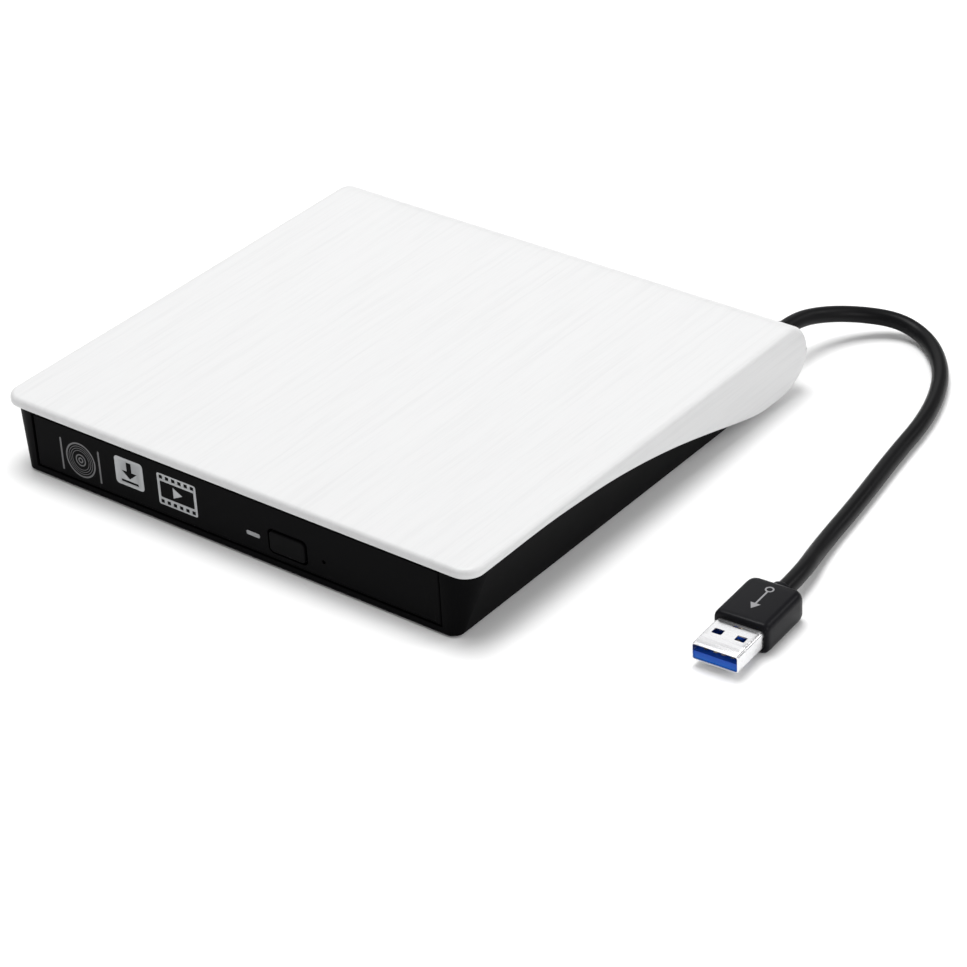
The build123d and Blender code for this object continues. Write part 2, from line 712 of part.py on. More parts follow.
cable_radii = route_radii(cable_route)
with BuildPart() as usb_cable:
    with BuildLine() as cable_line:
        FilletPolyline(*cable_route, radius=cable_radii)
    with BuildSketch(Plane(origin=cable_route[0], z_dir=Vector(*cable_route[1]) - Vector(*cable_route[0]))):
        Circle(cable_radius)
    sweep(path=cable_line.line)
finish(usb_cable, "usb_cable")
cable_length = cable_line.wires()[0].length
tube_volume = math.pi * cable_radius**2 * cable_length
print("cable radii", [round(radius, 1) for radius in cable_radii])
print("cable length", round(cable_length, 1), "volume ratio", round(usb_cable.part.volume / tube_volume, 4))

# The plug lies on the surface; its local x runs towards the tip.
plug = Plane(origin=(plug_rear[0], plug_rear[1], plug_z), x_dir=plug_direction, z_dir=(0, 0, 1))

with BuildPart(plug) as plug_body:
    rod((0, 2.4), 0, 0, 2.9)
    block((2.0, 19.0), (-7.1, 7.1), (-plug_z, plug_z))
    chamfer(edges().filter_by(Axis.Z), 1.2)
    block((17.0, 20), (-6.0, 6.0), (-2.25, 2.25), mode=Mode.SUBTRACT)
finish(plug_body, "plug_body")

with BuildPart(plug) as plug_shell:
    block((17.0, 30.3), (-6.0, 6.0), (-2.25, 2.25))
    block((17.0, 31.0), (-5.7, 5.7), (-1.95, 1.95), mode=Mode.SUBTRACT)
    for y in (-2.95, 2.95):
        block((22.8, 24.8), (y - 1.25, y + 1.25), (1.5, 3), mode=Mode.SUBTRACT)
    block((19.9, 20.6), (-1.2, 1.2), (1.5, 3), mode=Mode.SUBTRACT)
finish(plug_shell, "plug_shell")

with BuildPart(plug) as plug_tongue:
    block((17.0, 30.0), (-5.7, 5.7), (-1.95, 0))
    block((17.0, 18.8), (-5.7, 5.7), (0, 1.95))
    for y in (-3.5, -1.0, 1.0, 3.5):
        block((21.5, 28.5), (y - 0.5, y + 0.5), (-0.2, 1), mode=Mode.SUBTRACT)
finish(plug_tongue, "plug_tongue")

with BuildPart(plug) as plug_contacts:
    for y in (-3.5, -1.0, 1.0, 3.5):
        block((21.5, 28.5), (y - 0.5, y + 0.5), (-0.2, 0.0))
finish(plug_contacts, "plug_contacts")
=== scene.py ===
import math

import bmesh
import bpy
from mathutils import Matrix, Vector


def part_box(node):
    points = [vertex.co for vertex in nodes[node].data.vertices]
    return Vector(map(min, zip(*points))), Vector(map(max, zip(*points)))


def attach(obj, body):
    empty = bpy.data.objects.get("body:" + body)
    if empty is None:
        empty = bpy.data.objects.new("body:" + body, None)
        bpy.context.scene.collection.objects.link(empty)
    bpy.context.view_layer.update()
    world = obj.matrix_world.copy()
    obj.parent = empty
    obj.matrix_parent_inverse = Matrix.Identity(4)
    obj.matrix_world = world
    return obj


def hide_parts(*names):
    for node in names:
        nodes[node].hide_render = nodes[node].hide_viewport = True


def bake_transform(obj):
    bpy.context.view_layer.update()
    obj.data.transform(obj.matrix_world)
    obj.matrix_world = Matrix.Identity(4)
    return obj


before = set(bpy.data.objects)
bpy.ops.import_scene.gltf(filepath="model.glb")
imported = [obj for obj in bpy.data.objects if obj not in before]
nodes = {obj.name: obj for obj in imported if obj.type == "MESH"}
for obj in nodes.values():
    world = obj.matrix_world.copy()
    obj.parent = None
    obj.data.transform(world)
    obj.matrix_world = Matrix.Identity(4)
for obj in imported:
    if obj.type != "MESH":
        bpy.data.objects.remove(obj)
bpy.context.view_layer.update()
MM = 0.001

# Main dimensions of the case, in metres, read from the frame.
cover_low, cover_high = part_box("top_cover")
SIDE = cover_high.x
FRONT = cover_low.y
REAR = cover_high.y
TOP = cover_high.z


# ------------------------------------------------------------------ camera
CAMERA_FOCAL = 124.27
CAMERA_SENSOR = 36.0
CAMERA_NEAREST = 0.01
CAMERA_PLACE = (0.46740, -0.54558, 0.43428)
CAMERA_RIGHT = Vector((0.79243, 0.60805, -0.04830))
CAMERA_UP = Vector((-0.29293, 0.44882, 0.84424))
CAMERA_BACK = Vector((0.53502, -0.65486, 0.53378))


def make_camera():
    """The photograph's viewpoint, as a position in metres and the camera's own right, up and back axes."""
    data = bpy.data.cameras.new("view_camera")
    data.lens = CAMERA_FOCAL
    data.sensor_width = CAMERA_SENSOR
    data.clip_start = CAMERA_NEAREST
    camera = bpy.data.objects.new("view_camera", data)
    bpy.context.scene.collection.objects.link(camera)
    turn = Matrix((CAMERA_RIGHT, CAMERA_UP, CAMERA_BACK)).transposed().to_4x4()
    camera.matrix_world = Matrix.Translation(CAMERA_PLACE) @ turn
    bpy.context.scene.camera = camera


make_camera()


# ------------------------------------------------------------------ node helpers
def new_material(name):
    """An empty material with a principled shader wired to its output."""
    material = bpy.data.materials.new(name)
    material.use_nodes = True
    tree = material.node_tree
    tree.nodes.clear()
    output = tree.nodes.new("ShaderNodeOutputMaterial")
    shader = tree.nodes.new("ShaderNodeBsdfPrincipled")
    tree.links.new(shader.outputs[0], output.inputs[0])
    return material, tree, shader


def stretched_noise(tree, scale, detail=3.0, roughness=0.55):
    """Noise in the piece's own metres; scale is cycles per metre along x, y and z."""
    place = tree.nodes.new("ShaderNodeTexCoord")
    mapping = tree.nodes.new("ShaderNodeMapping")
    mapping.inputs["Scale"].default_value = scale
    noise = tree.nodes.new("ShaderNodeTexNoise")
    noise.inputs["Scale"].default_value = 1.0
    noise.inputs["Detail"].default_value = detail
    noise.inputs["Roughness"].default_value = roughness
    tree.links.new(place.outputs["Object"], mapping.inputs["Vector"])
    tree.links.new(mapping.outputs["Vector"], noise.inputs["Vector"])
    return noise.outputs["Fac"]


def ramp(tree, value, stops):
    """A colour ramp over a value. Stops are (position, grey or colour)."""
    node = tree.nodes.new("ShaderNodeValToRGB")
    while len(node.color_ramp.elements) < len(stops):
        node.color_ramp.elements.new(0.5)
    for element, (position, colour) in zip(node.color_ramp.elements, stops):
        element.position = position
        if isinstance(colour, (int, float)):
            colour = (colour, colour, colour)
        element.color = (*colour, 1.0)
    tree.links.new(value, node.inputs["Fac"])
    return node.outputs["Color"]


def scaled(colour, factor):
    """A lighter or darker colour."""
    return tuple(min(1.0, channel * factor) for channel in colour)


def add_bump(tree, shader, layers):
    """Stack bumps. Layers are (value, strength, distance in metres)."""
    normal = None
    for value, strength, distance in layers:
        bump = tree.nodes.new("ShaderNodeBump")
        bump.inputs["Strength"].default_value = strength
        bump.inputs["Distance"].default_value = distance
        tree.links.new(value, bump.inputs["Height"])
        if normal is not None:
            tree.links.new(normal, bump.inputs["Normal"])
        normal = bump.outputs["Normal"]
    tree.links.new(normal, shader.inputs["Normal"])


# ------------------------------------------------------------------ materials
# How deep each kind of surface relief goes, in metres.
HAIR_RELIEF = 0.00002
GRAIN_RELIEF = 0.00003
TRACE_RELIEF = 0.00004
WIRE_RELIEF = 0.00008
WAVE_RELIEF = 0.0001


def plastic(name, colour, roughness, grain, bump, spread, gloss=0.5):
    """Moulded plastic: fine spark-eroded grain, faint cloudy colour and patches of handling sheen."""
    material, tree, shader = new_material(name)
    shader.inputs["Specular IOR Level"].default_value = gloss
    cloud = stretched_noise(tree, (60.0,) * 3, 4.0)
    fine = stretched_noise(tree, (grain,) * 3, 2.0)
    low, high = scaled(colour, 1 - spread), scaled(colour, 1 + spread)
    tree.links.new(ramp(tree, cloud, [(0.3, low), (0.7, high)]), shader.inputs["Base Color"])
    sheen = ramp(tree, cloud, [(0.25, roughness - 0.05), (0.75, roughness + 0.06)])
    tree.links.new(sheen, shader.inputs["Roughness"])
    add_bump(tree, shader, [(fine, bump, GRAIN_RELIEF)])
    return material


def brushed(name, colour, roughness, along, fine=9000.0, bump=0.1, spread=0.05, wave=0.05):
    """Brushed metal: streaks that run along one axis ("x", "y", "z", or "all" for a tumbled finish)."""
    material, tree, shader = new_material(name)
    across, long = fine * 0.3, 90.0
    scale = [long if axis == along else across for axis in "xyz"]
    wide = [260.0] * 3
    if along != "all":
        wide = [9.0 if axis == along else 420.0 for axis in "xyz"]
    streak = stretched_noise(tree, scale, 3.0, 0.6)
    band = stretched_noise(tree, wide, 2.0)
    low, high = scaled(colour, 1 - spread), scaled(colour, 1 + spread)
    tree.links.new(ramp(tree, streak, [(0.3, low), (0.7, high)]), shader.inputs["Base Color"])
    rough = ramp(tree, band, [(0.3, roughness - 0.05), (0.7, roughness + 0.07)])
    tree.links.new(rough, shader.inputs["Roughness"])
    shader.inputs["Metallic"].default_value = 1.0
    add_bump(tree, shader, [(band, wave, WAVE_RELIEF), (streak, bump, GRAIN_RELIEF)])
    return material


def white_brushed():
    """White cover: hair-fine streaks from front to rear, some longer and darker than the rest."""
    material, tree, shader = new_material("white_brushed_cover")
    hair = stretched_noise(tree, (3600.0, 70.0, 3600.0), 4.0, 0.7)
    band = stretched_noise(tree, (700.0, 22.0, 700.0), 3.0, 0.6)
    cloud = stretched_noise(tree, (22.0, 12.0, 22.0), 2.0)
    streaks = tree.nodes.new("ShaderNodeMath")
    streaks.operation = "MULTIPLY"
    tree.links.new(hair, streaks.inputs[0])
    tree.links.new(band, streaks.inputs[1])
    tones = [(0.12, (0.618, 0.619, 0.622)), (0.26, (0.652, 0.653, 0.655)), (0.42, (0.661, 0.662, 0.664))]
    tone = ramp(tree, streaks.outputs[0], tones)
    tree.links.new(tone, shader.inputs["Base Color"])
    tree.links.new(ramp(tree, cloud, [(0.3, 0.35), (0.7, 0.41)]), shader.inputs["Roughness"])
    shader.inputs["Specular IOR Level"].default_value = 0.42
    add_bump(tree, shader, [(band, 0.02, GRAIN_RELIEF), (hair, 0.07, HAIR_RELIEF)])
    return material


def circuit_board(name, colour):
    """Solder resist over copper: darker ground, lighter traces in a grid, and small pads."""
    material, tree, shader = new_material(name)
    place = tree.nodes.new("ShaderNodeTexCoord")
    brick = tree.nodes.new("ShaderNodeTexBrick")
    brick.offset = 0.37
    brick.squash = 0.6
    brick.squash_frequency = 3
    brick.inputs["Scale"].default_value = 420.0
    brick.inputs["Mortar Size"].default_value = 0.06
    brick.inputs["Color1"].default_value = (*colour, 1)
    brick.inputs["Color2"].default_value = (*scaled(colour, 0.8), 1)
    brick.inputs["Mortar"].default_value = (*scaled(colour, 1.9), 1)
    tree.links.new(place.outputs["Object"], brick.inputs["Vector"])
    tree.links.new(brick.outputs["Color"], shader.inputs["Base Color"])
    shader.inputs["Roughness"].default_value = 0.38
    fine = stretched_noise(tree, (1500.0,) * 3, 2.0)
    add_bump(tree, shader, [(brick.outputs["Fac"], 0.3, TRACE_RELIEF), (fine, 0.1, HAIR_RELIEF)])
    return material


def wound_copper():
    """Enamelled copper wire in fine parallel turns."""
    material, tree, shader = new_material("wound_copper")
    place = tree.nodes.new("ShaderNodeTexCoord")
    wave = tree.nodes.new("ShaderNodeTexWave")
    wave.inputs["Scale"].default_value = 900.0
    wave.inputs["Distortion"].default_value = 1.2
    tree.links.new(place.outputs["Object"], wave.inputs["Vector"])
    tone = ramp(tree, wave.outputs["Fac"], [(0.0, (0.30, 0.11, 0.03)), (1.0, (0.80, 0.38, 0.15))])
    tree.links.new(tone, shader.inputs["Base Color"])
    shader.inputs["Metallic"].default_value = 0.9
    shader.inputs["Roughness"].default_value = 0.33
    add_bump(tree, shader, [(wave.outputs["Fac"], 0.5, WIRE_RELIEF)])
    return material


def clear_glass():
    """Coated pick-up lens: clear, with a faint blue-violet film."""
    material, tree, shader = new_material("coated_lens")
    film = stretched_noise(tree, (300.0,) * 3, 2.0)
    tone = ramp(tree, film, [(0.3, (0.20, 0.26, 0.62)), (0.7, (0.36, 0.30, 0.70))])
    tree.links.new(tone, shader.inputs["Base Color"])
    shader.inputs["Roughness"].default_value = 0.05
    shader.inputs["IOR"].default_value = 1.6
    shader.inputs["Transmission Weight"].default_value = 0.55
    shader.inputs["Coat Weight"].default_value = 0.6
    return material


def milky_light():
    """Light window: frosted clear plastic that scatters."""
    material, tree, shader = new_material("milky_light_window")
    cloud = stretched_noise(tree, (900.0,) * 3, 3.0)
    tone = ramp(tree, cloud, [(0.3, (0.24, 0.245, 0.255)), (0.7, (0.33, 0.335, 0.34))])
    tree.links.new(tone, shader.inputs["Base Color"])
    shader.inputs["Roughness"].default_value = 0.22
    shader.inputs["Subsurface Weight"].default_value = 0.25
    shader.inputs["Subsurface Radius"].default_value = (0.002, 0.002, 0.002)
    add_bump(tree, shader, [(cloud, 0.1, GRAIN_RELIEF)])
    return material


def blue_tongue_painted_shade():
    """Blue insulator with painted shade: its upper half, deep inside the shell, is coloured nearly black to
    stand for the shade there.
    """
    material, tree, shader = new_material("tongue_blue")
    place = tree.nodes.new("ShaderNodeNewGeometry")
    split = tree.nodes.new("ShaderNodeSeparateXYZ")
    centimetres = tree.nodes.new("ShaderNodeMath")
    centimetres.operation = "MULTIPLY"
    centimetres.inputs[1].default_value = 100.0
    tree.links.new(place.outputs["Position"], split.inputs["Vector"])
    tree.links.new(split.outputs["Z"], centimetres.inputs[0])
    # Painted shade: blue up to 2.2 mm above the floor, darker blue at 4 mm, nearly black from 4.6 mm up, for
    # the shade inside the shell.
    tones = [(0.22, (0.012, 0.13, 0.58)), (0.40, (0.008, 0.07, 0.46)), (0.46, (0.002, 0.006, 0.03))]
    tone = ramp(tree, centimetres.outputs[0], tones)
    tree.links.new(tone, shader.inputs["Base Color"])
    shader.inputs["Roughness"].default_value = 0.30
    shader.inputs["Specular IOR Level"].default_value = 0.18
    fine = stretched_noise(tree, (1800.0,) * 3, 2.0)
    add_bump(tree, shader, [(fine, 0.06, GRAIN_RELIEF)])
    return material


def flex_film():
    """Polyimide ribbon with copper lines that run along its length."""
    material, tree, shader = new_material("ribbon_film")
    place = tree.nodes.new("ShaderNodeTexCoord")
    wave = tree.nodes.new("ShaderNodeTexWave")
    wave.bands_direction = "X"
    wave.inputs["Scale"].default_value = 320.0
    tree.links.new(place.outputs["Object"], wave.inputs["Vector"])
    tone = ramp(tree, wave.outputs["Fac"], [(0.45, (0.30, 0.11, 0.02)), (0.55, (0.70, 0.34, 0.09))])
    tree.links.new(tone, shader.inputs["Base Color"])
    shader.inputs["Roughness"].default_value = 0.3
    add_bump(tree, shader, [(wave.outputs["Fac"], 0.3, GRAIN_RELIEF)])
    return material


COVER = white_brushed()
CASE_BLACK = plastic("satin_black_case", (0.0030, 0.0030, 0.0033), 0.42, 2200.0, 0.10, 0.12, 0.016)
BEZEL_BLACK = plastic("bezel_black", (0.0028, 0.0028, 0.0031), 0.36, 3000.0, 0.06, 0.10, 0.018)
BUTTON_BLACK = plastic("button_black", (0.0030, 0.0030, 0.0033), 0.32, 3000.0, 0.05, 0.10, 0.024)
RUBBER = plastic("foot_rubber", (0.022, 0.022, 0.023), 0.78, 1500.0, 0.35, 0.2)
FOAM = plastic("grey_foam", (0.10, 0.10, 0.10), 0.92, 1100.0, 0.9, 0.3)
TRAY_PLASTIC = plastic("tray_plastic", (0.014, 0.0145, 0.016), 0.45, 1900.0, 0.22, 0.12, 0.25)
RAIL_PLASTIC = plastic("natural_acetal", (0.70, 0.69, 0.64), 0.34, 1500.0, 0.08, 0.04)
CHIP_BLACK = plastic("chip_epoxy", (0.020, 0.020, 0.021), 0.55, 2500.0, 0.3, 0.15)
CONNECTOR_BLACK = plastic("connector_black", (0.016, 0.016, 0.017), 0.40, 2500.0, 0.12, 0.12)
CABLE_BLACK = plastic("cable_rubber", (0.004, 0.004, 0.0045), 0.36, 1300.0, 0.14, 0.15, 0.10)
PLUG_BLACK = plastic("plug_black", (0.0065, 0.0065, 0.008), 0.32, 2400.0, 0.07, 0.12, 0.075)
# The tongue's material: blue, with painted shade on its upper half.
TONGUE_BLUE_PAINTED_SHADE = blue_tongue_painted_shade()
PRINT_GREY = plastic("mark_ink", (0.42, 0.43, 0.44), 0.42, 2500.0, 0.10, 0.10)
DIM_PRINT = plastic("dim_mark_ink", (0.10, 0.10, 0.104), 0.42, 2500.0, 0.10, 0.15)
PLUG_MARK = plastic("plug_mark_ink", (0.24, 0.24, 0.25), 0.42, 2500.0, 0.10, 0.10)
SHEET_STEEL = brushed("sheet_steel", (0.56, 0.57, 0.58), 0.34, "y")
STAMPED_STEEL = brushed("stamped_steel", (0.50, 0.51, 0.52), 0.38, "all", wave=0.012)
SCREW_STEEL = brushed("screw_steel", (0.40, 0.40, 0.41), 0.36, "all", spread=0.1)
ROD_STEEL = brushed("ground_rod", (0.76, 0.76, 0.77), 0.14, "all", spread=0.02, bump=0.03)
CAST_METAL = brushed("cast_metal", (0.46, 0.47, 0.49), 0.44, "all", fine=5000.0, bump=0.25, wave=0.015)
NICKEL = brushed("nickel_shell", (0.80, 0.80, 0.81), 0.26, "x",
                 fine=7000.0, bump=0.04, spread=0.02, wave=0.008)
GOLD = brushed("contact_gold", (0.95, 0.80, 0.52), 0.24, "x", spread=0.04)
BOARD = circuit_board("green_board", (0.012, 0.11, 0.045))
COPPER = wound_copper()
LENS = clear_glass()
LIGHT = milky_light()
RIBBON = flex_film()

node_materials = {
    COVER: ["top_cover"],
    CASE_BLACK: ["base_shell"],
    BEZEL_BLACK: ["bezel"],
    BUTTON_BLACK: ["eject_button"],
    RUBBER: ["rubber_feet", "frame_dampers", "turntable_grip"],
    FOAM: ["foam_pads"],
    TRAY_PLASTIC: ["disc_tray"],
    RAIL_PLASTIC: ["guide_rail_left", "guide_rail_right", "ejector_slider",
                   "chuck_claw_1", "chuck_claw_2", "chuck_claw_3"],
    CHIP_BLACK: ["bridge_chips", "drive_chips", "lens_holder"],
    CONNECTOR_BLACK: ["bridge_plug", "drive_socket", "eject_switch"],
    CABLE_BLACK: ["cable_tail", "cable_gland"],
    SHEET_STEEL: ["drive_chassis", "drive_top_plate", "slide_runner_left", "slide_runner_right"],
    STAMPED_STEEL: ["mechanism_frame", "shield_plate", "spindle_base", "lock_lever"],
    SCREW_STEEL: ["case_screws", "drive_screws", "damper_screws", "lock_pin", "ejector_spring"],
    ROD_STEEL: ["guide_rod_long", "guide_rod_short", "lead_screw", "spindle_shaft"],
    CAST_METAL: ["pickup_sled", "turntable", "sled_motor"],
    NICKEL: ["plug_shell"],
    GOLD: ["plug_contacts", "laser_unit"],
    BOARD: ["bridge_board", "drive_board", "tray_board"],
    COPPER: ["lock_solenoid", "spindle_motor"],
    LENS: ["objective_lens"],
    LIGHT: ["light_pipe", "status_led"],
    RIBBON: ["flex_cable"],
    TONGUE_BLUE_PAINTED_SHADE: ["plug_tongue"],
    PLUG_BLACK: ["plug_body"],
}
for material, names in node_materials.items():
    for name in names:
        nodes[name].data.materials.clear()
        nodes[name].data.materials.append(material)


# ------------------------------------------------------------------ mesh helpers
def add_piece(name, mesh, material, body, replaces=()):
    """Link a finished mesh as a piece of the object that rides on a body."""
    piece = bpy.data.objects.new(name, mesh)
    bpy.context.scene.collection.objects.link(piece)
    mesh.materials.clear()
    mesh.materials.append(material)
    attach(piece, body)
    if replaces:
        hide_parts(*replaces)
    return piece


def smooth_shading(mesh, sharp_degrees):
    """Shade smooth, except at edges sharper than the angle."""
    for polygon in mesh.polygons:
        polygon.use_smooth = True
    mesh.set_sharp_from_angle(angle=math.radians(sharp_degrees))


def mesh_from(bm, name, sharp_degrees=35):
    """A mesh with outward normals and smooth shading, made from bm, which is used up."""
    bmesh.ops.recalc_face_normals(bm, faces=bm.faces)
    mesh = bpy.data.meshes.new(name)
    bm.to_mesh(mesh)
    bm.free()
    smooth_shading(mesh, sharp_degrees)
    return mesh


def prism(bm, outline, low, high):
    """A closed prism in bm from an outline of 2-D points, which low and high each map to 3-D."""
    bottom = [bm.verts.new(low(*point)) for point in outline]
    top = [bm.verts.new(high(*point)) for point in outline]
    bm.faces.new(bottom)
    bm.faces.new(top)
    for index in range(len(outline)):
        following = (index + 1) % len(outline)
        bm.faces.new((bottom[index], bottom[following], top[following], top[index]))


def lofted(bm, rings, close_ends=True):
    """Skin over rings of the same number of points, each a closed loop."""
    loops = [[bm.verts.new(point) for point in ring] for ring in rings]
    for before, after in zip(loops, loops[1:]):
        for index in range(len(before)):
            following = (index + 1) % len(before)
            bm.faces.new((before[index], before[following], after[following], after[index]))
    if close_ends:
        bm.faces.new(loops[0])
        bm.faces.new(loops[-1])


def rounded_rectangle(half_width, half_height, radius, steps=8):
    """Points of a rounded rectangle about the origin, anticlockwise."""
    radius = min(radius, half_width, half_height)
    points = []
    for quarter in range(4):
        centre_x = (half_width - radius) * (1 if quarter in (0, 3) else -1)
        centre_y = (half_height - radius) * (1 if quarter in (0, 1) else -1)
        for step in range(steps + 1):
            angle = math.radians(90 * quarter + 90 * step / steps)
            points.append((centre_x + radius * math.cos(angle), centre_y + radius * math.sin(angle)))
    return points


def cut_away(mesh, cutters):
    """The mesh with the cutter meshes taken out of it."""
    holder = bpy.data.objects.new("cut_holder", mesh)
    bpy.context.scene.collection.objects.link(holder)
    tools = []
    for cutter in cutters:
        tool = bpy.data.objects.new("cut_tool", cutter)
        bpy.context.scene.collection.objects.link(tool)
        tools.append(tool)
        modifier = holder.modifiers.new("cut", "BOOLEAN")
        modifier.operation = "DIFFERENCE"
        modifier.solver = "EXACT"
        modifier.object = tool
    bpy.context.view_layer.update()
    result = bpy.data.meshes.new_from_object(holder.evaluated_get(bpy.context.evaluated_depsgraph_get()))
    for thing in [holder, *tools]:
        bpy.data.objects.remove(thing)
    return result


# ------------------------------------------------------------------ USB cable
# The route and the plug's place are in millimetres.
CABLE_RADIUS = 2.15 * MM
CABLE_EXIT_X = 62.5
CABLE_EXIT_Z = 11.0
GLAND_END = 73.0
PLUG_ANGLE = math.radians(3.5)
PLUG_REAR = Vector((121.5, -16.8, 4.0))
PLUG_DIRECTION = Vector((math.sin(PLUG_ANGLE), -math.cos(PLUG_ANGLE), 0.0))
PLUG_LEAD = 9.0
cable_route = [
    (CABLE_EXIT_X, GLAND_END, CABLE_EXIT_Z),
    (CABLE_EXIT_X, 79.5, CABLE_EXIT_Z),
    (64.8, 89.4, 8.7),
    (70.2, 98.0, 6.2),
    (78.3, 103.4, 4.4),
    (86.2, 102.9, 2.6),
    (94.3, 96.7, 2.15),
    (101.9, 86.1, 2.15),
    (107.9, 69.4, 2.15),
    (110.6, 48.9, 2.15),
    (114.3, 27.4, 2.15),
    (117.4, 5.0, 2.3),
    tuple(PLUG_REAR - PLUG_LEAD * PLUG_DIRECTION),
    tuple(PLUG_REAR),
]


def make_cable():
    """The cable's smooth line, round and solid, from the strain relief to the plug."""
    curve = bpy.data.curves.new("usb_cable_line", "CURVE")
    curve.dimensions = "3D"
    curve.bevel_depth = CABLE_RADIUS
    curve.bevel_resolution = 8
    curve.use_fill_caps = True
    spline = curve.splines.new("NURBS")
    spline.points.add(len(cable_route) - 1)
    for point, place in zip(spline.points, cable_route):
        point.co = (*(coordinate * MM for coordinate in place), 1.0)
    spline.order_u = 3
    spline.use_endpoint_u = True
    spline.resolution_u = 16
    curve.materials.append(CABLE_BLACK)
    cable = bpy.data.objects.new("usb_cable_cord", curve)
    bpy.context.scene.collection.objects.link(cable)
    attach(cable, "case")
    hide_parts("usb_cable")
    return cable


cable = make_cable()


# ------------------------------------------------------------------ white cover
ROLL_RADIUS = 9.0 * MM
ROLL_TAIL = 13.1 * MM
ROLL_BOTTOM = 1.9 * MM
ROLL_CENTRE = TOP - ROLL_RADIUS
COVER_RIM = 2.5 * MM
CORNER = 5.0 * MM
# The cheeks' lower edge as (y, z) points in millimetres, from the rear to the front.
LOWER_EDGE = [(48.4, 2.2), (38.5, 4.4), (27.8, 7.4), (9.8, 11.9), (-9.5, 15.3), (-33.7, 17.3)]
FRONT_SLOPE = -0.02
REAR_SLOPE = -0.05
# Grid lines of the cover's mesh: close together along the rounded edges, then even.
EDGE_INSETS = [value * MM for value in
               (0, 0.03, 0.1, 0.2, 0.34, 0.52, 0.74, 1.0, 1.3, 1.7, 2.2, 2.8, 3.5, 4.2, 5.0)]
# Edge radii in millimetres at the front, how much they grow, and over what length.
TOP_EDGE, TOP_EDGE_GROWTH, TOP_EDGE_REACH = 1.15, 0.55, 60.0
LOWER_EDGE_RADIUS, LOWER_EDGE_GROWTH, LOWER_EDGE_REACH = 0.45, 0.9, 80.0
LOWER_GROWTH_START = -20.0
SLOPE_ROWS = 64
ROLL_ROWS = 28
MIDDLE_COLUMNS = 40
WELD = 1e-6


def smooth_through(points, start_slope, end_slope):
    """A height curve z(y) through points in rising y: cubic pieces with three-point slopes."""
    ys = [point[0] for point in points]
    zs = [point[1] for point in points]
    slopes = [start_slope]
    for index in range(1, len(points) - 1):
        step_before, step_after = ys[index] - ys[index - 1], ys[index + 1] - ys[index]
        rise_before = (zs[index] - zs[index - 1]) / step_before
        rise_after = (zs[index + 1] - zs[index]) / step_after
        slopes.append((rise_before * step_after + rise_after * step_before) / (step_before + step_after))
    slopes.append(end_slope)

    def height(y):
        index = max(i for i in range(len(ys) - 1) if i == 0 or y >= ys[i])
        span = ys[index + 1] - ys[index]
        t = (y - ys[index]) / span
        return (
            zs[index] * (2 * t**3 - 3 * t**2 + 1)
            + slopes[index] * span * (t**3 - 2 * t**2 + t)
            + zs[index + 1] * (3 * t**2 - 2 * t**3)
            + slopes[index + 1] * span * (t**3 - t**2)
        )

    return height


def cover_stations():
    """Pairs of (top point, bottom point) of the cover's side outline, from the front to the rear."""
    start = (FRONT, TOP - COVER_RIM)
    end = (REAR - ROLL_TAIL, ROLL_BOTTOM)
    middle = [(y * MM, z * MM) for y, z in reversed(LOWER_EDGE)]
    underside = smooth_through([start, *middle, end], FRONT_SLOPE, REAR_SLOPE)
    rows = [FRONT + inset for inset in EDGE_INSETS]
    last = rows[-1]
    rows += [last + (end[0] - last) * step / SLOPE_ROWS for step in range(1, SLOPE_ROWS + 1)]
    stations = [((y, TOP), (y, underside(y))) for y in rows]
    for step in range(1, ROLL_ROWS + 1):
        angle = math.radians(90 * step / ROLL_ROWS)
        top_angle = math.radians(90 * (1 - step / ROLL_ROWS))
        tail = (REAR - ROLL_TAIL + ROLL_TAIL * math.sin(angle),
                ROLL_CENTRE - (ROLL_CENTRE - ROLL_BOTTOM) * math.cos(angle))
        head = (REAR - ROLL_RADIUS + ROLL_RADIUS * math.cos(top_angle),
                ROLL_CENTRE + ROLL_RADIUS * math.sin(top_angle))
        stations.append((head, tail))
    return stations


def edge_drop(inset, radius):
    """How far a rounded edge falls below its surface, at a distance in from the outline."""
    if inset >= radius:
        return 0.0
    return radius - math.sqrt(radius**2 - (radius - inset) ** 2)


def outline_normals(points):
    """Inward normals of a chain of (y, z) points that runs with the solid on its right."""
    normals = []
    for index in range(len(points)):
        before = Vector(points[max(index - 1, 0)])
        after = Vector(points[min(index + 1, len(points) - 1)])
        along = (after - before).normalized()
        normals.append(Vector((along.y, -along.x)))
    return normals


def into_corner(x, y):
    """Pull a point of the square front corner into the round one, ring by ring."""
    across = (abs(x) - (SIDE - CORNER)) / CORNER
    ahead = (FRONT + CORNER - y) / CORNER
    if across <= 0 or ahead <= 0:
        return x, y
    pull = max(across, ahead) / math.hypot(across, ahead)
    new_x = SIDE - CORNER + across * pull * CORNER
    new_y = FRONT + CORNER - ahead * pull * CORNER
    return math.copysign(new_x, x), new_y


def top_radius(y):
    """Edge radius round the cover's top, tighter at the front."""
    share = min(1.0, max(0.0, (y - FRONT) / (TOP_EDGE_REACH * MM)))
    return (TOP_EDGE + TOP_EDGE_GROWTH * share) * MM


def bottom_radius(y):
    """Edge radius along the cover's lower edge, wider towards the rear roll."""
    share = min(1.0, max(0.0, (y - LOWER_GROWTH_START * MM) / (LOWER_EDGE_REACH * MM)))
    return (LOWER_EDGE_RADIUS + LOWER_EDGE_GROWTH * share**2) * MM


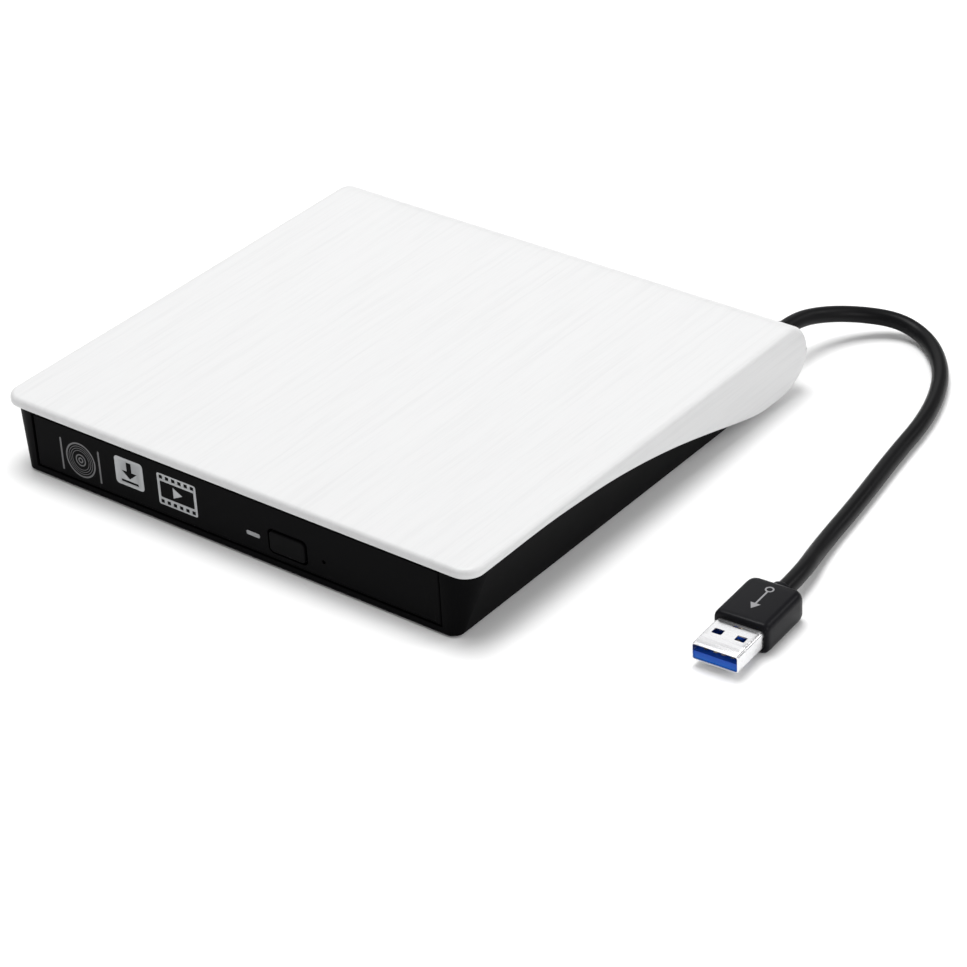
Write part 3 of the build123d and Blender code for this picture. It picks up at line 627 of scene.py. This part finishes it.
def make_cover():
    """The cover: a top and a bottom grid joined round the outline, with the inside cut away."""
    stations = cover_stations()
    tops = [station[0] for station in stations]
    bottoms = [station[1] for station in stations]
    top_normals = outline_normals(tops)
    bottom_normals = [-normal for normal in outline_normals(bottoms)]
    flat = SIDE - EDGE_INSETS[-1]
    middle = [-flat + 2 * flat * step / MIDDLE_COLUMNS for step in range(1, MIDDLE_COLUMNS)]
    columns = [-SIDE + inset for inset in EDGE_INSETS] + middle
    columns += [SIDE - inset for inset in reversed(EDGE_INSETS)]
    bm = bmesh.new()

    def sheet(points, normals, radius_at):
        """A grid over the columns and the points, bent down along its outline by the edge radius."""
        rows = []
        for (y, z), normal in zip(points, normals):
            row = []
            for x in columns:
                inset = min(SIDE - abs(x), y - FRONT) if y < 0 else SIDE - abs(x)
                drop = edge_drop(inset, radius_at(y))
                new_x, new_y = into_corner(x, y)
                row.append(bm.verts.new((new_x, new_y + normal.x * drop, z + normal.y * drop)))
            rows.append(row)
        return rows

    upper = sheet(tops, top_normals, top_radius)
    lower = sheet(bottoms, bottom_normals, bottom_radius)
    for rows in (upper, lower):
        for before, after in zip(rows, rows[1:]):
            for index in range(len(columns) - 1):
                bm.faces.new((before[index], before[index + 1], after[index + 1], after[index]))
    for index in range(len(stations) - 1):
        for column in (0, -1):
            bm.faces.new((upper[index][column], upper[index + 1][column],
                          lower[index + 1][column], lower[index][column]))
    for index in range(len(columns) - 1):
        bm.faces.new((upper[0][index], upper[0][index + 1], lower[0][index + 1], lower[0][index]))
    bmesh.ops.remove_doubles(bm, verts=bm.verts, dist=WELD)
    cutters = [tub_cutter(), pocket_cutter(), roll_cutter(), hole_cutter()]
    cover = cut_away(mesh_from(bm, "cover_outer"), cutters)
    smooth_shading(cover, 38)
    return cover


# The black base that the cover sits on, in millimetres: it widens with height.
BASE_BOTTOM, BASE_TOP = 0.6, 17.4
BASE_HALF_BOTTOM, BASE_HALF_TOP = 67.8, 72.2
BASE_CORNER_BOTTOM, BASE_CORNER_TOP = 2.8, 8.0
BASE_AIR = 0.1
BASE_SPACE_FRONT, BASE_SPACE_REAR, BASE_SPACE_TOP = -69.3, 61.1, 17.5
# The cover's inside, in millimetres.
POCKET_HALF = 68.4
POCKET_FRONT, POCKET_REAR = -65.6, 59.4
POCKET_FLOOR, POCKET_ROOF = 3.0, 18.1
ROLL_WALL = 1.8 * MM
CABLE_HOLE_RADIUS = 3.15 * MM
QUARTER_STEPS = 12
CIRCLE_STEPS = 32


def base_at(z):
    """The base's half width and front corner radius at a height, in millimetres."""
    share = (z - BASE_BOTTOM) / (BASE_TOP - BASE_BOTTOM)
    half = BASE_HALF_BOTTOM + share * (BASE_HALF_TOP - BASE_HALF_BOTTOM)
    return half, BASE_CORNER_BOTTOM + share * (BASE_CORNER_TOP - BASE_CORNER_BOTTOM)


def tub_cutter():
    """The space that the black base takes under the cover, with a little air round it."""
    angles = [math.radians(90 * step / QUARTER_STEPS) for step in range(QUARTER_STEPS + 1)]
    rings = []
    for z in (0.0, BASE_SPACE_TOP):
        half, corner = base_at(z)
        half += BASE_AIR
        right = [(half - corner + corner * math.cos(angle),
                  BASE_SPACE_FRONT + corner - corner * math.sin(angle)) for angle in angles]
        left = [(-x, y) for x, y in reversed(right)]
        outline = [*right, *left, (-half, BASE_SPACE_REAR), (half, BASE_SPACE_REAR)]
        rings.append([(x * MM, y * MM, z * MM) for x, y in outline])
    bm = bmesh.new()
    lofted(bm, rings)
    return mesh_from(bm, "tub_cutter")


def pocket_cutter():
    """The shallow pocket in the cover's top over the drive."""
    bm = bmesh.new()
    prism(
        bm,
        [(-POCKET_HALF, POCKET_FRONT), (POCKET_HALF, POCKET_FRONT),
         (POCKET_HALF, POCKET_REAR), (-POCKET_HALF, POCKET_REAR)],
        lambda x, y: (x * MM, y * MM, POCKET_FLOOR * MM),
        lambda x, y: (x * MM, y * MM, POCKET_ROOF * MM),
    )
    return mesh_from(bm, "pocket_cutter")


def roll_cutter():
    """The hollow inside the rear roll."""
    half = POCKET_HALF * MM
    points = [(REAR - ROLL_TAIL, TOP - ROLL_WALL)]
    for step in range(QUARTER_STEPS + 1):
        angle = math.radians(90 - 90 * step / QUARTER_STEPS)
        points.append((REAR - ROLL_RADIUS + (ROLL_RADIUS - ROLL_WALL) * math.cos(angle),
                       ROLL_CENTRE + (ROLL_RADIUS - ROLL_WALL) * math.sin(angle)))
    for step in range(1, QUARTER_STEPS + 1):
        angle = math.radians(90 * step / QUARTER_STEPS)
        points.append((REAR - ROLL_TAIL + (ROLL_TAIL - ROLL_WALL) * math.cos(angle),
                       ROLL_CENTRE - (ROLL_CENTRE - ROLL_BOTTOM - ROLL_WALL) * math.sin(angle)))
    bm = bmesh.new()
    prism(bm, points, lambda y, z: (-half, y, z), lambda y, z: (half, y, z))
    return mesh_from(bm, "roll_cutter")


def hole_cutter():
    """The cable's hole in the rear wall."""
    bm = bmesh.new()
    angles = [2 * math.pi * step / CIRCLE_STEPS for step in range(CIRCLE_STEPS)]
    circle = [(CABLE_EXIT_X * MM + CABLE_HOLE_RADIUS * math.cos(angle),
               CABLE_EXIT_Z * MM + CABLE_HOLE_RADIUS * math.sin(angle)) for angle in angles]
    prism(bm, circle, lambda x, z: (x, REAR - 4 * MM, z), lambda x, z: (x, REAR + 2 * MM, z))
    return mesh_from(bm, "hole_cutter")


add_piece("white_cover_shell", make_cover(), COVER, "case", ("top_cover",))


# Screw bosses: places (x, y), and (radius, height) pairs from the blind hole's end to the cover's roof.
BOSS_PLACES = [(-50.0, 59.0), (50.0, 59.0)]
BOSS_PROFILE = [(0.85, 9.0), (0.85, 2.6), (1.0, 2.4), (1.7, 2.4), (1.8, 2.5), (1.8, 18.15)]


def make_cover_bosses():
    """The two screw bosses that hang from the cover down to the base's floor, each with a blind hole."""
    angles = [2 * math.pi * step / CIRCLE_STEPS for step in range(CIRCLE_STEPS)]
    for number, (centre_x, centre_y) in enumerate(BOSS_PLACES, start=1):
        rings = [
            [((centre_x + radius * math.cos(angle)) * MM,
              (centre_y + radius * math.sin(angle)) * MM, height * MM) for angle in angles]
            for radius, height in BOSS_PROFILE
        ]
        bm = bmesh.new()
        lofted(bm, rings)
        mesh = mesh_from(bm, "boss_mesh")
        add_piece(f"cover_screw_boss_{number}", mesh, COVER, "case")


make_cover_bosses()


# ------------------------------------------------------------------ plug
def plug_place(along, across, up):
    """A point of the plug, in millimetres from its rear end, to metres in the frame."""
    sideways = Vector((-PLUG_DIRECTION.y, PLUG_DIRECTION.x, 0.0))
    return (PLUG_REAR + along * PLUG_DIRECTION + across * sideways + Vector((0, 0, up))) * MM


def plug_ring(along, half_width, half_height, radius):
    """One closed section of the plug."""
    outline = rounded_rectangle(half_width, half_height, radius)
    return [plug_place(along, across, up) for across, up in outline]


# Sections of the plug, in millimetres: along from its rear end, half width, half height, corner radius.
PLUG_COLLAR = [(0.0, 2.45, 2.45, 2.45), (0.15, 2.75, 2.75, 2.75), (0.4, 2.9, 2.9, 2.9), (1.6, 2.9, 2.9, 2.9),
               (1.8, 2.8, 2.8, 2.8), (1.95, 2.6, 2.6, 2.6), (2.15, 2.6, 2.6, 2.6)]
PLUG_SHOULDER = [(2.2, 5.4, 2.7, 2.2), (2.3, 6.1, 3.3, 2.2), (2.6, 6.6, 3.65, 2.1), (3.1, 6.9, 3.87, 2.0),
                 (3.8, 7.05, 3.96, 1.9), (4.8, 7.1, 4.0, 1.85)]
PLUG_NOSE = [(17.4, 7.1, 4.0, 1.85), (18.2, 7.05, 3.96, 1.8), (18.65, 6.95, 3.85, 1.8),
             (18.9, 6.75, 3.65, 1.7), (19.0, 6.5, 3.4, 1.5)]
PLUG_SOCKET = [(19.0, 6.03, 2.28, 0.6), (17.2, 6.03, 2.28, 0.6)]
SHELL_WALL = 0.3
SHELL_OUTSIDE = [(17.3, 6.0, 2.25, 0.75), (30.12, 6.0, 2.25, 0.75), (30.25, 5.96, 2.21, 0.72),
                 (30.3, 5.88, 2.13, 0.66)]
SHELL_INSIDE = [(30.3, 6.0 - SHELL_WALL, 2.25 - SHELL_WALL, 0.45),
                (17.3, 6.0 - SHELL_WALL, 2.25 - SHELL_WALL, 0.45)]
# Openings in the shell: upper (1) or lower (-1) side, along, across, half length, half width.
SHELL_OPENINGS = [
    (1, 23.8, 2.95, 1.0, 1.25),
    (1, 23.8, -2.95, 1.0, 1.25),
    (1, 20.25, 0.0, 0.35, 1.2),
    (-1, 23.8, 2.95, 1.0, 1.25),
    (-1, 23.8, -2.95, 1.0, 1.25),
]
OPENING_CORNER = 0.22
OPENING_FROM, OPENING_TO = 1.6, 3.0


def make_plug_body():
    """Moulded grip with a round collar behind it and a socket for the shell in its nose."""
    bm = bmesh.new()
    sections = [*PLUG_COLLAR, *PLUG_SHOULDER, *PLUG_NOSE, *PLUG_SOCKET]
    lofted(bm, [plug_ring(*section) for section in sections])
    return mesh_from(bm, "plug_body_mesh", 32)


def opening_cutter(side, along, across, half_length, half_width):
    """A block through one wall of the plug's shell."""
    bm = bmesh.new()
    prism(
        bm,
        rounded_rectangle(half_length, half_width, OPENING_CORNER, 4),
        lambda a, b: plug_place(along + a, across + b, side * OPENING_FROM),
        lambda a, b: plug_place(along + a, across + b, side * OPENING_TO),
    )
    return mesh_from(bm, "window_cutter")


def make_plug_shell():
    """Folded steel shell: two latch windows on top and below, and a slot on top."""
    bm = bmesh.new()
    lofted(bm, [plug_ring(*section) for section in [*SHELL_OUTSIDE, *SHELL_INSIDE]], close_ends=False)
    bmesh.ops.bridge_loops(bm, edges=[edge for edge in bm.edges if edge.is_boundary])
    shell = mesh_from(bm, "plug_shell_mesh", 40)
    cutters = [opening_cutter(*opening) for opening in SHELL_OPENINGS]
    result = cut_away(shell, cutters)
    smooth_shading(result, 40)
    return result


plug_body = add_piece(
    "plug_body_grip", make_plug_body(), PLUG_BLACK, "case", ("plug_body",)
)
plug_shell = add_piece(
    "plug_shell_folded", make_plug_shell(), NICKEL, "case", ("plug_shell",)
)


# ------------------------------------------------------------------ printed marks
RING_STEPS = 40
PLUG_MARK_HEIGHT = 3.985
PLUG_INK = 0.035
BEZEL_INK = 0.05
BEZEL_FACE = -68.98


def flat_shape(bm, outline, place, thickness):
    """A thin printed shape: an outline of 2-D points, put on a surface by place(a, b, height)."""
    prism(bm, outline, lambda a, b: place(a, b, 0.0), lambda a, b: place(a, b, thickness))


def ring_shape(bm, centre, outer, inner, place, thickness):
    """A thin printed ring."""
    angles = [2 * math.pi * step / RING_STEPS for step in range(RING_STEPS)]
    rows = []
    for radius, height in ((outer, 0.0), (outer, thickness), (inner, thickness), (inner, 0.0)):
        rows.append([
            bm.verts.new(place(centre[0] + radius * math.cos(angle),
                               centre[1] + radius * math.sin(angle), height))
            for angle in angles
        ])
    for row, following in zip(rows, rows[1:] + rows[:1]):
        for step in range(RING_STEPS):
            after = (step + 1) % RING_STEPS
            bm.faces.new((row[step], row[after], following[after], following[step]))


def make_plug_mark():
    """A plain arrow that points to the plug's tip, printed on its upper face."""
    bm = bmesh.new()

    def place(a, b, height):
        return plug_place(a, b, PLUG_MARK_HEIGHT + height)

    flat_shape(bm, [(7.0, -0.22), (12.2, -0.22), (12.2, 0.22), (7.0, 0.22)], place, PLUG_INK)
    flat_shape(bm, [(12.2, -1.3), (14.4, 0.0), (12.2, 1.3)], place, PLUG_INK)
    ring_shape(bm, (5.9, 0.0), 1.1, 0.7, place, PLUG_INK)
    return mesh_from(bm, "plug_mark_mesh")


plug_mark = add_piece("plug_arrow_mark", make_plug_mark(), PLUG_MARK, "case")


def bezel_place(x, z, height):
    """A point on the bezel's face, in millimetres; shapes start a hair below the surface."""
    return Vector((x, BEZEL_FACE - height, z)) * MM


def shifted(outline, centre):
    """An outline moved from the origin to a centre."""
    return [(centre[0] + a, centre[1] + b) for a, b in outline]


def ink_piece(name, shapes, holes, material):
    """A printed mark: outlines filled with ink, less the outlines that are left open."""
    bm = bmesh.new()
    for outline in shapes:
        flat_shape(bm, outline, bezel_place, BEZEL_INK)
    mesh = mesh_from(bm, name + "_mesh")
    if holes:
        bm = bmesh.new()
        for outline in holes:
            prism(bm, outline, lambda a, b: bezel_place(a, b, -0.5), lambda a, b: bezel_place(a, b, 0.5))
        mesh = cut_away(mesh, [mesh_from(bm, "ink_cutter")])
    add_piece(name, mesh, material, "tray")


# Centres of the marks on the bezel, as (x, z) in millimetres, and the shapes they are made of.
DISC_CENTRE = (-48.3, 8.7)
DISC_RINGS = [(4.9, 4.45), (4.0, 3.85), (3.4, 3.25), (2.8, 2.65), (1.7, 1.35), (0.8, 0.45)]
DISC_BAR_REACH = 6.3
LOAD_CENTRE = (-32.0, 10.5)
LOAD_ARROW = [(-0.8, 2.9), (-0.8, 0.3), (-2.5, 0.3), (0.0, -1.7), (2.5, 0.3), (0.8, 0.3), (0.8, 2.9)]
LOAD_BAR_DROP = 2.6
FILM_CENTRE = (-16.5, 9.8)
FILM_PITCH = 2.0
FILM_HOLE_REACH = 3.45
PLAY_TRIANGLE = [(-1.3, -1.5), (1.6, 0.0), (-1.3, 1.5)]


def make_disc_mark():
    """A disc in thin rings between two upright bars."""
    bm = bmesh.new()
    for outer, inner in DISC_RINGS:
        ring_shape(bm, DISC_CENTRE, outer, inner, bezel_place, BEZEL_INK)
    for side in (-1, 1):
        centre = (DISC_CENTRE[0] + side * DISC_BAR_REACH, DISC_CENTRE[1])
        bar = shifted(rounded_rectangle(0.28, 4.6, 0.2, 4), centre)
        flat_shape(bm, bar, bezel_place, BEZEL_INK)
    add_piece("bezel_mark_disc", mesh_from(bm, "disc_mark_mesh"), DIM_PRINT, "tray")


def make_load_mark():
    """A filled square with a load arrow over a bar left open in it."""
    bar_centre = (LOAD_CENTRE[0], LOAD_CENTRE[1] - LOAD_BAR_DROP)
    square = shifted(rounded_rectangle(4.6, 3.9, 1.0), LOAD_CENTRE)
    bar = shifted(rounded_rectangle(2.8, 0.33, 0.2, 3), bar_centre)
    ink_piece("bezel_mark_load", [square], [shifted(LOAD_ARROW, LOAD_CENTRE), bar], PRINT_GREY)


def make_film_mark():
    """A film frame with sprocket holes and a triangle in its window."""
    frame_outline = shifted(rounded_rectangle(6.2, 4.4, 0.6), FILM_CENTRE)
    window = shifted(rounded_rectangle(5.4, 2.3, 0.3, 4), FILM_CENTRE)
    holes = []
    for step in (-2.5, -1.5, -0.5, 0.5, 1.5, 2.5):
        for side in (-1, 1):
            centre = (FILM_CENTRE[0] + FILM_PITCH * step, FILM_CENTRE[1] + side * FILM_HOLE_REACH)
            holes.append(shifted(rounded_rectangle(0.55, 0.5, 0.15, 3), centre))
    ink_piece("bezel_mark_film", [frame_outline], [*holes, window], PRINT_GREY)
    ink_piece("bezel_mark_film_star", [shifted(PLAY_TRIANGLE, FILM_CENTRE)], [], PRINT_GREY)


make_disc_mark()
make_load_mark()
make_film_mark()


# ------------------------------------------------------------------ inner pieces with finer shapes
# The mechanism's middle and the diagonal it lies on; sizes in millimetres.
MECHANISM_CENTRE_Y = -4.5
SCREW_ACROSS, SCREW_HEIGHT = -14.2, 8.0
SCREW_PITCH, SCREW_GROOVE = 3.0, 0.32
SCREW_RADIUS = 1.2
SCREW_START, SCREW_LENGTH = 10.35, 40.5
SCREW_ROWS, SCREW_SIDES, FADE_ROWS = 210, 24, 8
INNER_JOURNAL = [(8.5, 0.4), (8.6, 0.6), (10.25, 0.6), (10.3, 1.0)]
OUTER_JOURNAL = [(50.9, 1.0), (50.95, 0.6), (52.3, 0.6), (52.4, 0.4)]
SPRING_X, SPRING_Z = -14.0, 8.0
SPRING_FRONT, SPRING_REAR = 47.85, 56.15
COIL_RADIUS, WIRE_RADIUS = 0.62, 0.13
COIL_TURNS, TURN_STEPS, WIRE_SIDES = 15, 20, 8
FLAT_SHARE = 0.06


def mechanism_place(x, y, z):
    """A point of the pick-up mechanism, which lies on a diagonal, in millimetres."""
    half = math.sqrt(0.5)
    return Vector(((x + y) * half, MECHANISM_CENTRE_Y + (y - x) * half, z)) * MM


def groove_share(turn):
    """How deep the groove is at a part of a turn: 1 at its middle, 0 on the land."""
    return max(0.0, math.cos(2 * math.pi * (turn % 1.0 - 0.5))) ** 0.6


def make_lead_screw():
    """Screw that drives the pick-up: a shaft with a rounded helical groove and thin journals."""
    rows = [(x, radius, 0.0) for x, radius in INNER_JOURNAL]
    for index in range(SCREW_ROWS + 1):
        fade = min(1.0, index / FADE_ROWS, (SCREW_ROWS - index) / FADE_ROWS)
        rows.append((SCREW_START + SCREW_LENGTH * index / SCREW_ROWS, SCREW_RADIUS, SCREW_GROOVE * fade))
    rows += [(x, radius, 0.0) for x, radius in OUTER_JOURNAL]
    rings = []
    for x, radius, depth in rows:
        ring = []
        for step in range(SCREW_SIDES):
            angle = 2 * math.pi * step / SCREW_SIDES
            reach = radius - depth * groove_share(x / SCREW_PITCH - step / SCREW_SIDES)
            ring.append(mechanism_place(x, SCREW_ACROSS + reach * math.cos(angle),
                                        SCREW_HEIGHT + reach * math.sin(angle)))
        rings.append(ring)
    bm = bmesh.new()
    lofted(bm, rings)
    return mesh_from(bm, "lead_screw_mesh", 50)


add_piece("lead_screw_thread", make_lead_screw(), ROD_STEEL, "screw", replaces=("lead_screw",))


def make_ejector_spring():
    """A close coil with a flat turn at each end, made at one length."""
    rings = []
    total = COIL_TURNS * TURN_STEPS
    for index in range(total + 1):
        spread = min(1.0, max(0.0, (index / total - FLAT_SHARE) / (1 - 2 * FLAT_SHARE)))
        y = SPRING_FRONT + WIRE_RADIUS + (SPRING_REAR - SPRING_FRONT - 2 * WIRE_RADIUS) * spread
        angle = 2 * math.pi * index / TURN_STEPS
        outward = Vector((math.cos(angle), 0.0, math.sin(angle)))
        centre = Vector((SPRING_X, y, SPRING_Z)) + COIL_RADIUS * outward
        ring = []
        for side in range(WIRE_SIDES):
            around = 2 * math.pi * side / WIRE_SIDES
            offset = math.cos(around) * outward + math.sin(around) * Vector((0, 1, 0))
            ring.append((centre + WIRE_RADIUS * offset) * MM)
        rings.append(ring)
    bm = bmesh.new()
    lofted(bm, rings)
    return mesh_from(bm, "ejector_spring_mesh", 60)


spring = bpy.data.objects.new("ejector_spring_coil", make_ejector_spring())
bpy.context.scene.collection.objects.link(spring)
spring.data.materials.append(SCREW_STEEL)
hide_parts("ejector_spring")
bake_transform(spring)


# ------------------------------------------------------------------ floor, light
FLOOR_REACH = 6.0
SKY_STRENGTH = 0.30
# Each light: name, place in metres, size in metres, power in watts. All of them face the origin.
LIGHTS = [
    ("key_above", (-0.18, 0.16, 1.25), (0.72, 0.72), 14.3),
    ("card_rear", (-0.60, 0.72, 0.60), (0.9, 0.5), 1.3),
    ("card_ridge", (0.62, 0.76, 0.62), (0.5, 0.25), 1.8),
    ("card_rim", (-0.60, -0.60, 0.74), (0.4, 0.4), 1.2),
    ("fill_front", (0.25, -1.1, 0.55), (0.9, 0.5), 0.5),
    ("fill_right", (1.0, 0.0, 0.35), (0.5, 0.4), 3.0),
]


def make_stage():
    """A wide, pale, matt floor at the height that the case stands on."""
    bm = bmesh.new()
    corners = [(-FLOOR_REACH, -FLOOR_REACH), (FLOOR_REACH, -FLOOR_REACH),
               (FLOOR_REACH, FLOOR_REACH), (-FLOOR_REACH, FLOOR_REACH)]
    bm.faces.new([bm.verts.new((x, y, 0.0)) for x, y in corners])
    mesh = bpy.data.meshes.new("floor")
    bm.to_mesh(mesh)
    bm.free()
    material, tree, shader = new_material("pale_floor")
    cloud = stretched_noise(tree, (3.0,) * 3, 2.0)
    tree.links.new(ramp(tree, cloud, [(0.3, 0.935), (0.7, 0.95)]), shader.inputs["Base Color"])
    shader.inputs["Roughness"].default_value = 0.75
    mesh.materials.append(material)
    floor = bpy.data.objects.new("floor", mesh)
    bpy.context.scene.collection.objects.link(floor)


def area_light(name, place, size, power):
    """A white rectangular light that faces the origin."""
    data = bpy.data.lights.new(name, "AREA")
    data.shape = "RECTANGLE"
    data.size, data.size_y = size
    data.energy = power
    light = bpy.data.objects.new(name, data)
    bpy.context.scene.collection.objects.link(light)
    light.location = place
    light.rotation_euler = (-Vector(place)).to_track_quat("-Z", "Y").to_euler()


def make_light():
    """Soft, even studio light: a faint white surround, one large light overhead and small cards."""
    world = bpy.data.worlds.new("soft_studio")
    world.use_nodes = True
    sky = world.node_tree.nodes["Background"]
    sky.inputs["Color"].default_value = (1, 1, 1, 1)
    sky.inputs["Strength"].default_value = SKY_STRENGTH
    bpy.context.scene.world = world
    for light in LIGHTS:
        area_light(*light)
    bpy.context.scene.view_settings.view_transform = "Standard"


make_stage()
make_light()
